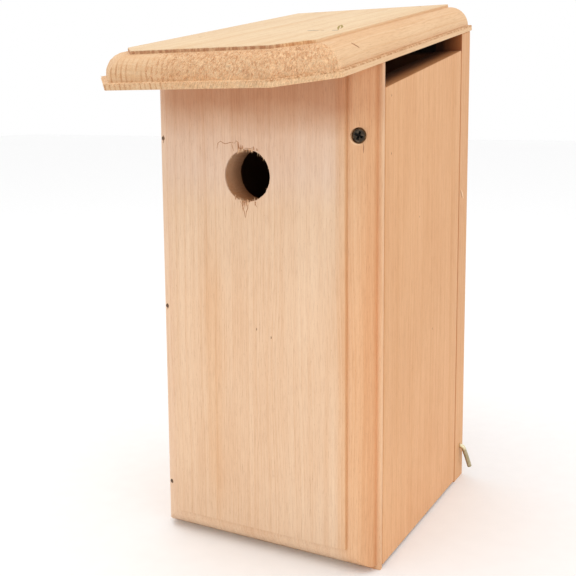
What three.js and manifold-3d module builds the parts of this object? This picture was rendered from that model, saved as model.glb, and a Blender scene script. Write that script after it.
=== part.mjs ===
// Nest box for small birds: six boards, a side door that pivots on two screws, and a wire latch.
// Millimetres, +Z up. The front faces -Y and the door is on the +X side.
// While it is built, x = 0 is the middle of the front, y = 0 its face and z = 0 its lower edge;
// the last section moves the finished group so that the origin is under the middle of its box.

import * as THREE from "three";
import { mergeVertices } from "three/addons/utils/BufferGeometryUtils.js";
import Module from "manifold-3d";

// ---- Driving dimensions ----

const BOARD = 17.5; // thickness of every board
const HOUSE_WIDTH = 139.7; // front and back panels
const SIDE_WIDTH = 127; // side panel, front to back
const ROOF_WIDTH = 141.8;
const ROOF_SLOPE = THREE.MathUtils.degToRad(10);
const ROOF_FRONT_HEIGHT = 262; // underside of the roof at its front edge
const ROOF_OVERHANG = 63.5; // from the front's face to the roof's front edge
const ROOF_CLIP = { across: 23.6, along: 27.5 }; // each front corner is cut off by this much
const ROOF_LEDGE = 0.8; // flat strip between the roof's field and its quarter round

const QUARTER_ROUND = 12; // radius of the routed edge
const EDGE_SHOULDER = 2.5; // flat ledge outside the quarter round
const FIELD_STEP = 2; // drop from the field to the top of the quarter round

const FIT_GAP = 0.3; // between fixed pieces that touch
const DOOR_SIDE_GAP = 0.7; // running clearance in front of and behind the door
const DOOR_LIFT = 1.5; // door's lower edge above the panels' lower edges
const VENT_FRONT = 13.3; // open height between the roof and the front end of a side
const VENT_BACK = 10.5; // and at its back end

const FLOOR_RECESS = 6; // floor's underside above the panels' lower edges
const DRAIN_LEG = 12; // each floor corner is cut off by this much

const ENTRANCE = { diameter: 28.2, x: -3.5, height: 216.5 };
const LADDER = { rungs: 6, spacing: 12.7, width: 60, height: 3, depth: 1.6, belowHole: 22 };

const PIVOT_HEIGHT = 238.7;
const SCREW = { head: 4.3, rim: 0.4, neck: 2.9, shank: 2, length: 38, tip: 4, facets: 24 };
const RECESS = { span: 5, width: 1, depth: 1.8, turn: THREE.MathUtils.degToRad(23) };

const NAIL = { head: 1.25, rim: 0.9, neck: 0.9, shank: 0.8, length: 38, tip: 2, facets: 12 };
const BRAD = { head: 1.1, rim: 0.8, neck: 0.8, shank: 0.7, length: 36, tip: 2, facets: 12 };
const HEAD_SUNK = 0.25; // heads sit this far below a flat face
const HOLE_MOUTH = 6; // a fastener's hole is drilled from this far outside its head
const SIDE_NAIL_HEIGHTS = [30, 138, 236];
const FLOOR_NAIL_SPREAD = 30;
const ROOF_BRAD_SPREAD = 38;

const HOOK = { wire: 1.35, stem: 16, reach: 3, bend: 2.7, leg: 16.6, height: 22.4, fromRear: 6.7 };
const HOOK_BACK_TURN = THREE.MathUtils.degToRad(18); // open leg, turned back from straight down
const HOOK_SPLAY = THREE.MathUtils.degToRad(12); // the leg leans away from the box

// ---- Places worked out from them ----

const HALF_WIDTH = HOUSE_WIDTH / 2;
const CAVITY_HALF = HALF_WIDTH - BOARD;
const SIDE_MIDDLE = HALF_WIDTH - BOARD / 2; // mid-thickness of each side
const SIDE_FRONT = BOARD + FIT_GAP;
const SIDE_BACK = SIDE_FRONT + SIDE_WIDTH;
const BACK_INNER = SIDE_BACK + FIT_GAP; // back panel's face inside the box
const REAR = BACK_INNER + BOARD;
const ROOF_RISE = Math.tan(ROOF_SLOPE); // rise of the roof per millimetre towards the back
const FLOOR_MIDDLE = FLOOR_RECESS + BOARD / 2;

// Height of the roof's underside above the ground plan.
function roofUnderside(y) {
  return ROOF_FRONT_HEIGHT + (y + ROOF_OVERHANG) * ROOF_RISE;
}

// ---- Turning three.js geometry into solids and back ----

const wasm = await Module();
wasm.setup();

function solid(geometry) {
  const bare = geometry.clone();
  bare.deleteAttribute("normal");
  bare.deleteAttribute("uv");
  const merged = mergeVertices(bare, 1e-4);
  return new wasm.Manifold(
    new wasm.Mesh({
      numProp: 3,
      vertProperties: new Float32Array(merged.attributes.position.array),
      triVerts: new Uint32Array(merged.index.array),
    }),
  );
}

function geometryOf(body) {
  const mesh = body.getMesh();
  const geometry = new THREE.BufferGeometry();
  geometry.setAttribute("position", new THREE.BufferAttribute(mesh.vertProperties, 3));
  geometry.setIndex(new THREE.BufferAttribute(mesh.triVerts, 1));
  return geometry;
}

// ---- Materials and named pieces ----

function material(color, roughness, metalness) {
  return new THREE.MeshStandardMaterial({ color, roughness, metalness, flatShading: true });
}

const SOFTWOOD = material("#e2c19c", 0.75, 0);
const ROOF_WOOD = material("#e8cb9e", 0.75, 0);
const DOOR_WOOD = material("#dcae82", 0.75, 0);
const BRONZED_STEEL = material("#3b322b", 0.45, 0.8);
const BRIGHT_STEEL = material("#77706a", 0.4, 0.9);
const BRASS_WIRE = material("#b9a878", 0.35, 0.9);

const house = new THREE.Group();

function addPiece(name, geometry, finish) {
  const piece = new THREE.Mesh(geometry, finish);
  piece.name = name;
  house.add(piece);
  return piece;
}

// ---- Board shapes ----

// A block given by its lowest and highest corners.
function block(low, high) {
  const size = high.map((value, i) => value - low[i]);
  const centre = high.map((value, i) => (value + low[i]) / 2);
  return new THREE.BoxGeometry(...size).translate(...centre);
}

// Plan of a board whose routed end is at y = 0, drawn in by `inset` from its edges.
// `clip` says how much is cut off its two routed corners; without it they stay square.
function boardPlan(width, length, clip, inset) {
  const half = width / 2 - inset;
  const nearEdge = [[half, inset]];
  if (clip) {
    const turn = Math.atan2(clip.along, clip.across);
    const alongInset = inset * Math.tan((Math.PI / 2 - turn) / 2);
    const acrossInset = inset * Math.tan(turn / 2);
    nearEdge[0] = [width / 2 - clip.across - acrossInset, inset];
    nearEdge.push([half, clip.along + alongInset]);
  }
  const right = [...nearEdge, [half, length]];
  const left = right.map(([x, y]) => [-x, y]).reverse();
  return new THREE.Shape([...right, ...left].map(([x, y]) => new THREE.Vector2(x, y)));
}

// A board with a quarter round between two flats, routed round its left, near and right edges.
// Its field faces +Z, and its far end, at y = length, is cut square.
function routedBoard(width, length, clip, ledge) {
  const edgeHeight = BOARD - FIELD_STEP - QUARTER_ROUND;
  const roundInset = EDGE_SHOULDER + QUARTER_ROUND;
  const uncut = length + 2 * roundInset;
  const slab = (inset, options) => {
    const plan = boardPlan(width, uncut, clip, inset);
    return solid(new THREE.ExtrudeGeometry(plan, { bevelEnabled: false, ...options }));
  };
  const edge = slab(0, { depth: edgeHeight });
  const round = slab(roundInset, {
    depth: edgeHeight,
    bevelEnabled: true,
    bevelThickness: QUARTER_ROUND,
    bevelSize: QUARTER_ROUND,
    bevelSegments: 8,
  });
  const field = slab(roundInset + ledge, { depth: BOARD });
  const squareEnd = solid(block([-width, -1, 0], [width, length, 2 * BOARD]));
  return edge.add(round).add(field).intersect(squareEnd);
}

// A plain board: its outline is drawn in y and z, and its thickness runs along x from `x`.
function profileBoard(outline, x) {
  const shape = new THREE.Shape(outline.map(([y, z]) => new THREE.Vector2(y, z)));
  const geometry = new THREE.ExtrudeGeometry(shape, { depth: BOARD, bevelEnabled: false });
  const axes = new THREE.Matrix4().makeBasis(
    new THREE.Vector3(0, 1, 0),
    new THREE.Vector3(0, 0, 1),
    new THREE.Vector3(1, 0, 0),
  );
  return solid(geometry.applyMatrix4(axes).translate(x, 0, 0));
}

// Everything above the panels' tops, which are bevelled to meet the sloping roof.
function spaceOverTops() {
  const span = 4 * REAR;
  return new THREE.BoxGeometry(span, span, span)
    .translate(0, 0, span / 2)
    .rotateX(ROOF_SLOPE)
    .translate(0, 0, roofUnderside(0) - FIT_GAP);
}

// ---- Screws, nails and their holes ----

// Turned along +Y with the flat of its head at y = 0; an allowance makes the hole it sits in.
function fastenerShape(size, allowance = 0) {
  const mouth = allowance > 0 ? -HOLE_MOUTH : 0;
  const profile = [
    [0, size.length + allowance],
    [size.shank + allowance, size.length - size.tip],
    [size.shank + allowance, size.neck + allowance],
    [size.head + allowance, size.rim + allowance],
    [size.head + allowance, mouth],
    [0, mouth],
  ];
  const points = profile.map(([radius, y]) => new THREE.Vector2(radius, y));
  return new THREE.LatheGeometry(points.reverse(), size.facets);
}

// Two crossed slots in a screw's head.
function driveRecess() {
  const arm = (turn) =>
    solid(new THREE.BoxGeometry(RECESS.span, 2 * RECESS.depth, RECESS.width).rotateY(turn));
  return arm(RECESS.turn).add(arm(RECESS.turn + Math.PI / 2));
}

const fasteners = [];

// Plans a fastener: where its head is, which way it is driven, and the boards it passes through.
function plan(name, size, at, along, boards) {
  const turn = new THREE.Quaternion().setFromUnitVectors(
    new THREE.Vector3(0, 1, 0),
    new THREE.Vector3(...along),
  );
  const unit = new THREE.Vector3(1, 1, 1);
  const place = new THREE.Matrix4().compose(new THREE.Vector3(...at), turn, unit);
  fasteners.push({ name, size, place, boards });
}

// A board less the holes of every fastener that passes through it.
function drilled(body, boardName) {
  return fasteners
    .filter((item) => item.boards.includes(boardName))
    .map((item) => solid(fastenerShape(item.size, FIT_GAP).applyMatrix4(item.place)))
    .reduce((rest, hole) => rest.subtract(hole), body);
}

const INWARD = [0, 1, 0]; // driven through the front
const FORWARD = [0, -1, 0]; // driven through the back
const BACK_HEAD = REAR - HEAD_SUNK;

// Depth of the front's quarter round, below the field, at the mid-thickness of a side.
const ROUND_CENTRE = HALF_WIDTH - EDGE_SHOULDER - QUARTER_ROUND;
const ROUND_RISE = Math.sqrt(QUARTER_ROUND ** 2 - (SIDE_MIDDLE - ROUND_CENTRE) ** 2);
const STRIP_DEPTH = FIELD_STEP + QUARTER_ROUND - ROUND_RISE;

function planPivotScrews() {
  const front = [SIDE_MIDDLE, STRIP_DEPTH, PIVOT_HEIGHT];
  const back = [SIDE_MIDDLE, BACK_HEAD, PIVOT_HEIGHT];
  plan("pivot_screw_front", SCREW, front, INWARD, ["front_panel", "side_door"]);
  plan("pivot_screw_back", SCREW, back, FORWARD, ["back_panel", "side_door"]);
}

function planSideNails() {
  SIDE_NAIL_HEIGHTS.forEach((z, i) => {
    const front = [-SIDE_MIDDLE, STRIP_DEPTH, z];
    const back = [-SIDE_MIDDLE, BACK_HEAD, z];
    plan(`side_nail_front_${i + 1}`, NAIL, front, INWARD, ["front_panel", "left_side_panel"]);
    plan(`side_nail_back_${i + 1}`, NAIL, back, FORWARD, ["back_panel", "left_side_panel"]);
  });
}

function planFloorNails() {
  [-FLOOR_NAIL_SPREAD, FLOOR_NAIL_SPREAD].forEach((offset, i) => {
    const left = [HEAD_SUNK - HALF_WIDTH, (SIDE_FRONT + SIDE_BACK) / 2 + offset, FLOOR_MIDDLE];
    const back = [offset, BACK_HEAD, FLOOR_MIDDLE];
    plan(`floor_nail_left_${i + 1}`, NAIL, left, [1, 0, 0], ["left_side_panel", "floor_panel"]);
    plan(`floor_nail_back_${i + 1}`, NAIL, back, FORWARD, ["back_panel", "floor_panel"]);
  });
}

function planRoofBrads(end, y) {
  const top = roofUnderside(y) + BOARD / Math.cos(ROOF_SLOPE);
  [-ROOF_BRAD_SPREAD, ROOF_BRAD_SPREAD].forEach((x, i) => {
    const head = [x, y, top - 2 * HEAD_SUNK];
    plan(`roof_brad_${end}_${i + 1}`, BRAD, head, [0, 0, -1], ["roof", `${end}_panel`]);
  });
}

planPivotScrews();
planSideNails();
planFloorNails();
planRoofBrads("front", BOARD / 2);
planRoofBrads("back", REAR - BOARD / 2);

// ---- Front panel: routed, with the entrance and a climbing ladder sawn into its inner face ----

function frontPanel() {
  const height = roofUnderside(BOARD);
  const board = routedBoard(HOUSE_WIDTH, height, null, 0)
    .rotate([90, 0, 0])
    .translate([0, BOARD, 0]);
  const radius = ENTRANCE.diameter / 2;
  const entrance = new THREE.CylinderGeometry(radius, radius, 3 * BOARD, 40);
  entrance.translate(ENTRANCE.x, 0, ENTRANCE.height);
  const holed = board.subtract(solid(spaceOverTops())).subtract(solid(entrance));
  return drilled(ladderKerfs().reduce((rest, kerf) => rest.subtract(kerf), holed), "front_panel");
}

function ladderKerfs() {
  return Array.from({ length: LADDER.rungs }, (_, rung) => {
    const top = ENTRANCE.height - LADDER.belowHole - rung * LADDER.spacing;
    const low = [ENTRANCE.x - LADDER.width / 2, BOARD - LADDER.depth, top - LADDER.height];
    const high = [ENTRANCE.x + LADDER.width / 2, BOARD + 1, top];
    return solid(block(low, high));
  });
}

// ---- Back panel: plain, drilled at its right edge for the latch ----

function backPanel() {
  const top = roofUnderside(REAR);
  const board = solid(block([-HALF_WIDTH, BACK_INNER, 0], [HALF_WIDTH, REAR, top]));
  const shaped = board.subtract(solid(spaceOverTops())).subtract(hookHole());
  return drilled(shaped, "back_panel");
}

// ---- Sides: the fixed left panel and the door share one shape ----

// `gap` is left in front of and behind the board, and `lift` below it.
function sideBoard(x, gap, lift) {
  const front = BOARD + gap;
  const back = BACK_INNER - gap;
  return profileBoard(
    [
      [front, lift],
      [back, lift],
      [back, roofUnderside(back) - VENT_BACK],
      [front, roofUnderside(front) - VENT_FRONT],
    ],
    x,
  );
}

function leftSidePanel() {
  return drilled(sideBoard(-HALF_WIDTH, FIT_GAP, 0), "left_side_panel");
}

function sideDoor() {
  return drilled(sideBoard(CAVITY_HALF, DOOR_SIDE_GAP, DOOR_LIFT), "side_door");
}

// ---- Floor: its corners are cut off so that water drains ----

function floorPanel() {
  const left = -CAVITY_HALF + FIT_GAP;
  const right = CAVITY_HALF - DOOR_SIDE_GAP;
  const outline = [
    [left + DRAIN_LEG, SIDE_FRONT],
    [right - DRAIN_LEG, SIDE_FRONT],
    [right, SIDE_FRONT + DRAIN_LEG],
    [right, SIDE_BACK - DRAIN_LEG],
    [right - DRAIN_LEG, SIDE_BACK],
    [left + DRAIN_LEG, SIDE_BACK],
    [left, SIDE_BACK - DRAIN_LEG],
    [left, SIDE_FRONT + DRAIN_LEG],
  ];
  const shape = new THREE.Shape(outline.map(([x, y]) => new THREE.Vector2(x, y)));
  const slab = new THREE.ExtrudeGeometry(shape, { depth: BOARD, bevelEnabled: false });
  return drilled(solid(slab.translate(0, 0, FLOOR_RECESS)), "floor_panel");
}

// ---- Roof: routed round three edges, its front corners clipped ----

function roof() {
  const length = (ROOF_OVERHANG + REAR) / Math.cos(ROOF_SLOPE);
  const board = routedBoard(ROOF_WIDTH, length, ROOF_CLIP, ROOF_LEDGE)
    .rotate([THREE.MathUtils.radToDeg(ROOF_SLOPE), 0, 0])
    .translate([0, -ROOF_OVERHANG, ROOF_FRONT_HEIGHT]);
  return drilled(board, "roof");
}

// ---- Latch hook: its stem turns in the back panel's edge, its leg swings across the door ----

const HOOK_PLACE = [HALF_WIDTH, REAR - HOOK.fromRear, HOOK.height];

// Stem along +X, leg down -Z, origin where the stem leaves the panel.
function hookShape() {
  const corner = new THREE.Vector3(HOOK.reach, 0, 0);
  const legWay = new THREE.Vector3(Math.sin(HOOK_SPLAY), 0, -Math.cos(HOOK_SPLAY));
  const stemEnd = new THREE.Vector3(-HOOK.stem, 0, 0);
  const bendStart = new THREE.Vector3(HOOK.reach - HOOK.bend, 0, 0);
  const bendEnd = corner.clone().addScaledVector(legWay, HOOK.bend);
  const legEnd = corner.clone().addScaledVector(legWay, HOOK.leg);
  const path = new THREE.CurvePath();
  path.add(new THREE.LineCurve3(stemEnd, bendStart));
  path.add(new THREE.QuadraticBezierCurve3(bendStart, corner, bendEnd));
  path.add(new THREE.LineCurve3(bendEnd, legEnd));
  const section = new THREE.Shape().absarc(0, 0, HOOK.wire, 0, 2 * Math.PI);
  const sweep = { steps: 40, curveSegments: 10, bevelEnabled: false, extrudePath: path };
  return new THREE.ExtrudeGeometry(section, sweep);
}

function hookHole() {
  const radius = HOOK.wire + FIT_GAP;
  const depth = HOOK.stem + FIT_GAP;
  const bore = new THREE.CylinderGeometry(radius, radius, 2 * depth, 20).rotateZ(Math.PI / 2);
  return solid(bore.translate(...HOOK_PLACE));
}

// ---- Assembly ----

addPiece("front_panel", geometryOf(frontPanel()), SOFTWOOD);
addPiece("back_panel", geometryOf(backPanel()), SOFTWOOD);
addPiece("left_side_panel", geometryOf(leftSidePanel()), SOFTWOOD);
addPiece("side_door", geometryOf(sideDoor()), DOOR_WOOD);
addPiece("floor_panel", geometryOf(floorPanel()), SOFTWOOD);
addPiece("roof", geometryOf(roof()), ROOF_WOOD);

const hook = addPiece("latch_hook", hookShape(), BRASS_WIRE);
hook.position.set(...HOOK_PLACE);
hook.rotation.x = HOOK_BACK_TURN;

fasteners.forEach(({ name, size, place }) => {
  const isScrew = size === SCREW;
  const shape = solid(fastenerShape(size));
  const finished = isScrew ? shape.subtract(driveRecess()) : shape;
  const piece = addPiece(name, geometryOf(finished), isScrew ? BRONZED_STEEL : BRIGHT_STEEL);
  piece.applyMatrix4(place);
});

// ---- Origin: under the middle of the finished object's box ----

const bounds = new THREE.Box3().setFromObject(house, true);
const middle = bounds.getCenter(new THREE.Vector3());
house.position.set(-middle.x, -middle.y, -bounds.min.z);

const birdhouse = new THREE.Group();
birdhouse.add(house);

export default birdhouse;
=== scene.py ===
# Looks for a small wooden nest box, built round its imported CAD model.
#
# Shapes are drawn in millimetres in the house's own frame: x = 0 is the middle of the front,
# y = 0 its face, z = 0 its lower edge, and the door is on the +X side. place() takes a point
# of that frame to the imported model's frame, in metres.

import math
import random

import bmesh
import bpy
from mathutils import Matrix, Vector, noise


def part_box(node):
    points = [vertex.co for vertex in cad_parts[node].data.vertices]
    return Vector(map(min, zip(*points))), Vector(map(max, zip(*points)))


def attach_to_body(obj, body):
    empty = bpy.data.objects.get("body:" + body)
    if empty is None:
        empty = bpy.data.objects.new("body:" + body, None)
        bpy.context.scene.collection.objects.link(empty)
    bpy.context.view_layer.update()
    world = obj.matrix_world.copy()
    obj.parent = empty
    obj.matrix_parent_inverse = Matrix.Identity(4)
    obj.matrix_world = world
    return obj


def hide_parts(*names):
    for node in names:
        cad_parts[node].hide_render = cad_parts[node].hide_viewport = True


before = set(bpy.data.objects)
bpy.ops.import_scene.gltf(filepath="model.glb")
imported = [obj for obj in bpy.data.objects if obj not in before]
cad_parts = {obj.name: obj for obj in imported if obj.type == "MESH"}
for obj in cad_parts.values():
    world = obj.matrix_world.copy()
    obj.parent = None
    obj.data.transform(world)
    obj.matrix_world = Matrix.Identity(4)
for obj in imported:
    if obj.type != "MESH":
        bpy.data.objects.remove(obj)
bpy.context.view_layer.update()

MM = 0.001
scene = bpy.context.scene

# ---- Sizes: the boards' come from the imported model, the routed profile's are the CAD's ----

front_low, front_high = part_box("front_panel")
back_low, back_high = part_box("back_panel")
roof_low, roof_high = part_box("roof")
screw_low, screw_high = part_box("pivot_screw_front")

HOUSE = Vector(((front_low.x + front_high.x) / 2, front_low.y, front_low.z))
HALF = (front_high.x - front_low.x) / 2 / MM
BOARD = (front_high.y - front_low.y) / MM
BACK_INNER = (back_low.y - HOUSE.y) / MM
REAR = (back_high.y - HOUSE.y) / MM
ROOF_WIDTH = (roof_high.x - roof_low.x) / MM
ROOF_FRONT_HEIGHT = roof_low.z / MM
PIVOT = ((screw_low + screw_high) / 2 - HOUSE) / MM
DOOR_TOP = (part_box("side_door")[1].z - HOUSE.z) / MM
HOOK_TOP = (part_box("latch_hook")[1].z - HOUSE.z) / MM

ROOF_SLOPE = math.radians(10)
ROOF_OVERHANG = 63.5
ROOF_CLIP = (23.6, 27.5)  # cut off each front corner of the roof, across and along
ROOF_LEDGE = 0.8  # flat strip between the roof's quarter round and its step
QUARTER_ROUND = 12
EDGE_SHOULDER = 2.5
FIELD_STEP = 2
STEP_FOOT = BOARD - FIELD_STEP
ROUND_INSET = EDGE_SHOULDER + QUARTER_ROUND
EDGE_HEIGHT = STEP_FOOT - QUARTER_ROUND
FIT_GAP = 0.3
EASE = 0.45  # sawn edges are this round
CUTTER_RELIEF = 0.12  # the cutter leaves a rise this high at the shoulder, and the step leans this much

ENTRANCE_X = -3.5
ENTRANCE_Z = 216.5
ENTRANCE_RADIUS = 14.1


def place(point):
    """A point of the house's frame, in mm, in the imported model's frame."""
    return HOUSE + Vector(point) * MM


def roof_underside(y):
    return ROOF_FRONT_HEIGHT + (y + ROOF_OVERHANG) * math.tan(ROOF_SLOPE)


# ---- Camera, at the photograph's angle ----

CAMERA_PLACE = (247.13, -418.32, 253.82)
CAMERA_YAW = math.radians(28.004)
CAMERA_PITCH = math.radians(7.543)
CAMERA_ROLL = math.radians(0.39)
CAMERA_LENS = 56.108
CAMERA_SHIFT = (-0.0089, -0.1094)
SENSOR_WIDTH = 36
NEAREST_SEEN = 0.01


def add_camera():
    data = bpy.data.cameras.new("camera")
    data.lens = CAMERA_LENS
    data.sensor_width = SENSOR_WIDTH
    data.shift_x, data.shift_y = CAMERA_SHIFT
    data.clip_start = NEAREST_SEEN
    camera = bpy.data.objects.new("camera", data)
    scene.collection.objects.link(camera)
    turn = Matrix.Rotation(CAMERA_YAW, 4, "Z")
    turn @= Matrix.Rotation(math.pi / 2 - CAMERA_PITCH, 4, "X")
    turn @= Matrix.Rotation(-CAMERA_ROLL, 4, "Z")
    camera.matrix_world = Matrix.Translation(place(CAMERA_PLACE)) @ turn
    scene.camera = camera


# ---- Building node materials ----


class Graph:
    """A material's node tree. An argument may be a number, a tuple or another node's output."""

    def __init__(self, name):
        self.material = bpy.data.materials.new(name)
        self.material.use_nodes = True
        self.tree = self.material.node_tree
        self.tree.nodes.clear()
        self.shader = self.node("BsdfPrincipled")
        self.tree.links.new(self.shader.outputs[0], self.node("OutputMaterial").inputs[0])
        self.coords = self.node("TexCoord")

    def node(self, kind, **settings):
        made = self.tree.nodes.new("ShaderNode" + kind)
        for key, value in settings.items():
            setattr(made, key, value)
        return made

    def feed(self, socket, value):
        if isinstance(value, bpy.types.NodeSocket):
            self.tree.links.new(value, socket)
        elif isinstance(value, tuple) and len(value) == 3 and socket.type == "RGBA":
            socket.default_value = (*value, 1)
        else:
            socket.default_value = value

    def math(self, operation, *values):
        made = self.node("Math", operation=operation)
        for socket, value in zip(made.inputs, values):
            self.feed(socket, value)
        return made.outputs[0]

    def scaled(self, vector, scale, offset=(0, 0, 0)):
        made = self.node("Mapping")
        self.feed(made.inputs["Vector"], vector)
        made.inputs["Scale"].default_value = scale
        made.inputs["Location"].default_value = offset
        return made.outputs[0]

    def noise(self, vector, detail=2.0, roughness=0.5, scale=1.0):
        made = self.node("TexNoise")
        self.feed(made.inputs["Vector"], vector)
        made.inputs["Scale"].default_value = scale
        made.inputs["Detail"].default_value = detail
        made.inputs["Roughness"].default_value = roughness
        return made.outputs[0]

    def ramp(self, value, stops):
        """Greys by position, eased from stop to stop: stops are (position, brightness)."""
        made = self.node("ValToRGB")
        made.color_ramp.interpolation = "EASE"
        elements = made.color_ramp.elements
        while len(elements) < len(stops):
            elements.new(1)
        for element, (position, level) in zip(elements, stops):
            element.position = position
            element.color = (level, level, level, 1)
        self.feed(made.inputs[0], value)
        return made.outputs[0]

    def mix(self, factor, a, b, blend="MIX"):
        made = self.node("Mix", data_type="RGBA", blend_type=blend)
        self.feed(made.inputs[0], factor)
        self.feed(made.inputs[6], a)
        self.feed(made.inputs[7], b)
        return made.outputs[2]

    def range(self, value, low, high, to_low=0.0, to_high=1.0):
        made = self.node("MapRange", clamp=True)
        for socket, number in zip(made.inputs, (value, low, high, to_low, to_high)):
            self.feed(socket, number)
        return made.outputs[0]

    def near(self, value, centre, reach, fade):
        """1 within reach of centre, falling to 0 over fade."""
        distance = self.math("ABSOLUTE", self.math("SUBTRACT", value, centre))
        return self.range(distance, reach, reach + fade, 1, 0)

    def both(self, *masks):
        result = masks[0]
        for mask in masks[1:]:
            result = self.math("MULTIPLY", result, mask)
        return result

    def tint(self, colour, mask, multiplier):
        return self.mix(mask, colour, multiplier, "MULTIPLY")

    def split(self, vector):
        made = self.node("SeparateXYZ")
        self.feed(made.inputs[0], vector)
        return made.outputs

    def join(self, *values):
        made = self.node("CombineXYZ")
        for socket, value in zip(made.inputs, values):
            self.feed(socket, value)
        return made.outputs[0]

    def length(self, across, up):
        made = self.node("VectorMath", operation="LENGTH")
        self.feed(made.inputs[0], self.join(across, up))
        return made.outputs["Value"]

    def tilted(self, vector, angle, kind="POINT"):
        """The vector turned about X."""
        made = self.node("Mapping", vector_type=kind)
        made.inputs["Rotation"].default_value = (angle, 0, 0)
        self.feed(made.inputs["Vector"], vector)
        return made.outputs[0]

    def house_point(self):
        """The shaded point in the house's frame, in mm."""
        return self.scaled(self.coords.outputs["Object"], (1 / MM,) * 3, tuple(-HOUSE / MM))

    def bump(self, height, strength, distance):
        made = self.node("Bump")
        made.inputs["Strength"].default_value = strength
        made.inputs["Distance"].default_value = distance
        self.feed(made.inputs["Height"], height)
        return made.outputs[0]

    def finish(self, colour, roughness, normal, metallic=0.0, specular=0.5):
        self.feed(self.shader.inputs["Base Color"], colour)
        self.feed(self.shader.inputs["Roughness"], roughness)
        self.feed(self.shader.inputs["Normal"], normal)
        self.shader.inputs["Metallic"].default_value = metallic
        self.shader.inputs["Specular IOR Level"].default_value = specular
        return self.material


# ---- Wood ----

# Which axes lie along the grain, across it and through the board.
GRAIN_AXES = {"upright": (2, 0, 1), "upright_side": (2, 1, 0), "level": (1, 0, 2)}
FIBRE_SHADE = (0.32, 0.10, 0.0)
# Painted shade, for the entrance's bore and where the door's edge meets the back board.
EDGE_SHADE = (0.80, 0.64, 0.50)


def grain_coordinates(g, grain, tilt, shift):
    """Millimetres along the grain, across it and through the board, and how far a face is end grain."""
    position = g.split(g.tilted(g.coords.outputs["Object"], -tilt))
    facing = g.split(g.tilted(g.coords.outputs["Normal"], -tilt, "VECTOR"))
    order = GRAIN_AXES[grain]
    millimetres = [g.math("MULTIPLY_ADD", position[axis], 1 / MM, move) for axis, move in zip(order, shift)]
    end_grain = g.math("ABSOLUTE", facing[order[0]])
    return g.join(*millimetres), g.range(end_grain, 0.35, 0.85)


def wood(name, pale, warm, grain, marks, tilt=0.0, shift=(0, 0, 0), pith=(150, -40), ring=3.2):
    """Planed softwood. pith is where the tree's heart lies, across and through the board.

    marks(graph, colour) adds the board's own stains and cutter marks, and its painted light and shade."""
    g = Graph(name)
    coords, end_grain = grain_coordinates(g, grain, tilt, shift)
    _, across, through = g.split(coords)

    # Growth rings: distance from the pith, which wanders along the board.
    wander = g.noise(g.scaled(coords, (1 / 170, 1 / 45, 1 / 45)), detail=1.5)
    offset = g.math("MULTIPLY_ADD", wander, 11, -5.5 - pith[0])
    radius = g.length(g.math("ADD", across, offset), g.math("SUBTRACT", through, pith[1]))
    year = g.node("TexNoise", noise_dimensions="1D")
    g.feed(year.inputs["W"], g.math("MULTIPLY", radius, 1 / 9))
    phase = g.math("ADD", g.math("MULTIPLY", radius, 1 / ring), g.math("MULTIPLY", year.outputs[0], 2.4))
    rings = g.ramp(g.math("FRACT", phase), [(0, 0.12), (0.55, 0.2), (0.86, 1), (0.93, 0.9), (1, 0.12)])

    # Streaks a few millimetres wide, fine fibres, and broad soft patches.
    streaks = g.noise(g.scaled(coords, (1 / 190, 1 / 3.4, 1 / 3.4)), detail=3, roughness=0.6)
    fibres = g.noise(g.scaled(coords, (1 / 9, 1 / 0.42, 1 / 0.42)), detail=3, roughness=0.65)
    flecks = g.noise(g.scaled(coords, (1 / 2.6, 1 / 0.5, 1 / 0.5), (5, 9, 2)), detail=2, roughness=0.6)
    patches = g.noise(g.scaled(coords, (1 / 75, 1 / 26, 1 / 26), (3, 7, 1)), detail=2)

    warmth = g.math("MULTIPLY", rings, 0.34)
    warmth = g.math("ADD", warmth, g.range(streaks, 0.3, 0.72, 0, 0.5))
    warmth = g.math("ADD", warmth, g.range(patches, 0.3, 0.7, -0.12, 0.2))
    colour = g.mix(g.range(warmth, 0, 1), pale, warm)
    colour = g.tint(colour, g.range(fibres, 0.48, 0.78, 0, 0.26), FIBRE_SHADE)
    colour = g.tint(colour, g.range(flecks, 0.6, 0.8, 0, 0.24), FIBRE_SHADE)

    # End grain drinks the light, and its cut pores show as dots.
    pores = g.noise(g.scaled(coords, (1 / 3, 1 / 0.55, 1 / 0.55)), detail=3, roughness=0.7)
    colour = g.tint(colour, end_grain, g.range(pores, 0.35, 0.68, 0.8, 1.04))
    # The board's marks, then painted shade inside the nest chamber.
    colour = painted_chamber_shade(g, marks(g, colour))

    roughness = g.range(g.math("ADD", fibres, g.math("MULTIPLY", rings, 0.2)), 0.3, 0.8, 0.52, 0.74)
    relief = g.math("ADD", g.math("MULTIPLY", fibres, 0.8), g.math("MULTIPLY", rings, 0.25))
    relief = g.math("ADD", relief, g.math("MULTIPLY", g.math("MULTIPLY", pores, end_grain), 2.2))
    return g.finish(colour, roughness, g.bump(relief, 0.55, 0.00022), specular=0.32)


def painted_chamber_shade(g, colour):
    """Painted shade: faces inside the nest chamber are darkened."""
    x, y, z = g.split(g.house_point())
    middle = (BOARD + BACK_INNER) / 2
    level_height = g.math("MULTIPLY_ADD", y, -math.tan(ROOF_SLOPE), z)
    below_roof = g.math("SUBTRACT", roof_underside(0), level_height)
    inside = g.both(
        g.near(x, 0, HALF - BOARD + 0.1, 0.4),
        g.near(y, middle, middle - BOARD + 0.1, 0.4),
        g.range(z, 15, 24),
        g.range(below_roof, -0.6, -0.2),
    )
    return g.tint(colour, inside, (0.22, 0.17, 0.14))


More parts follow.
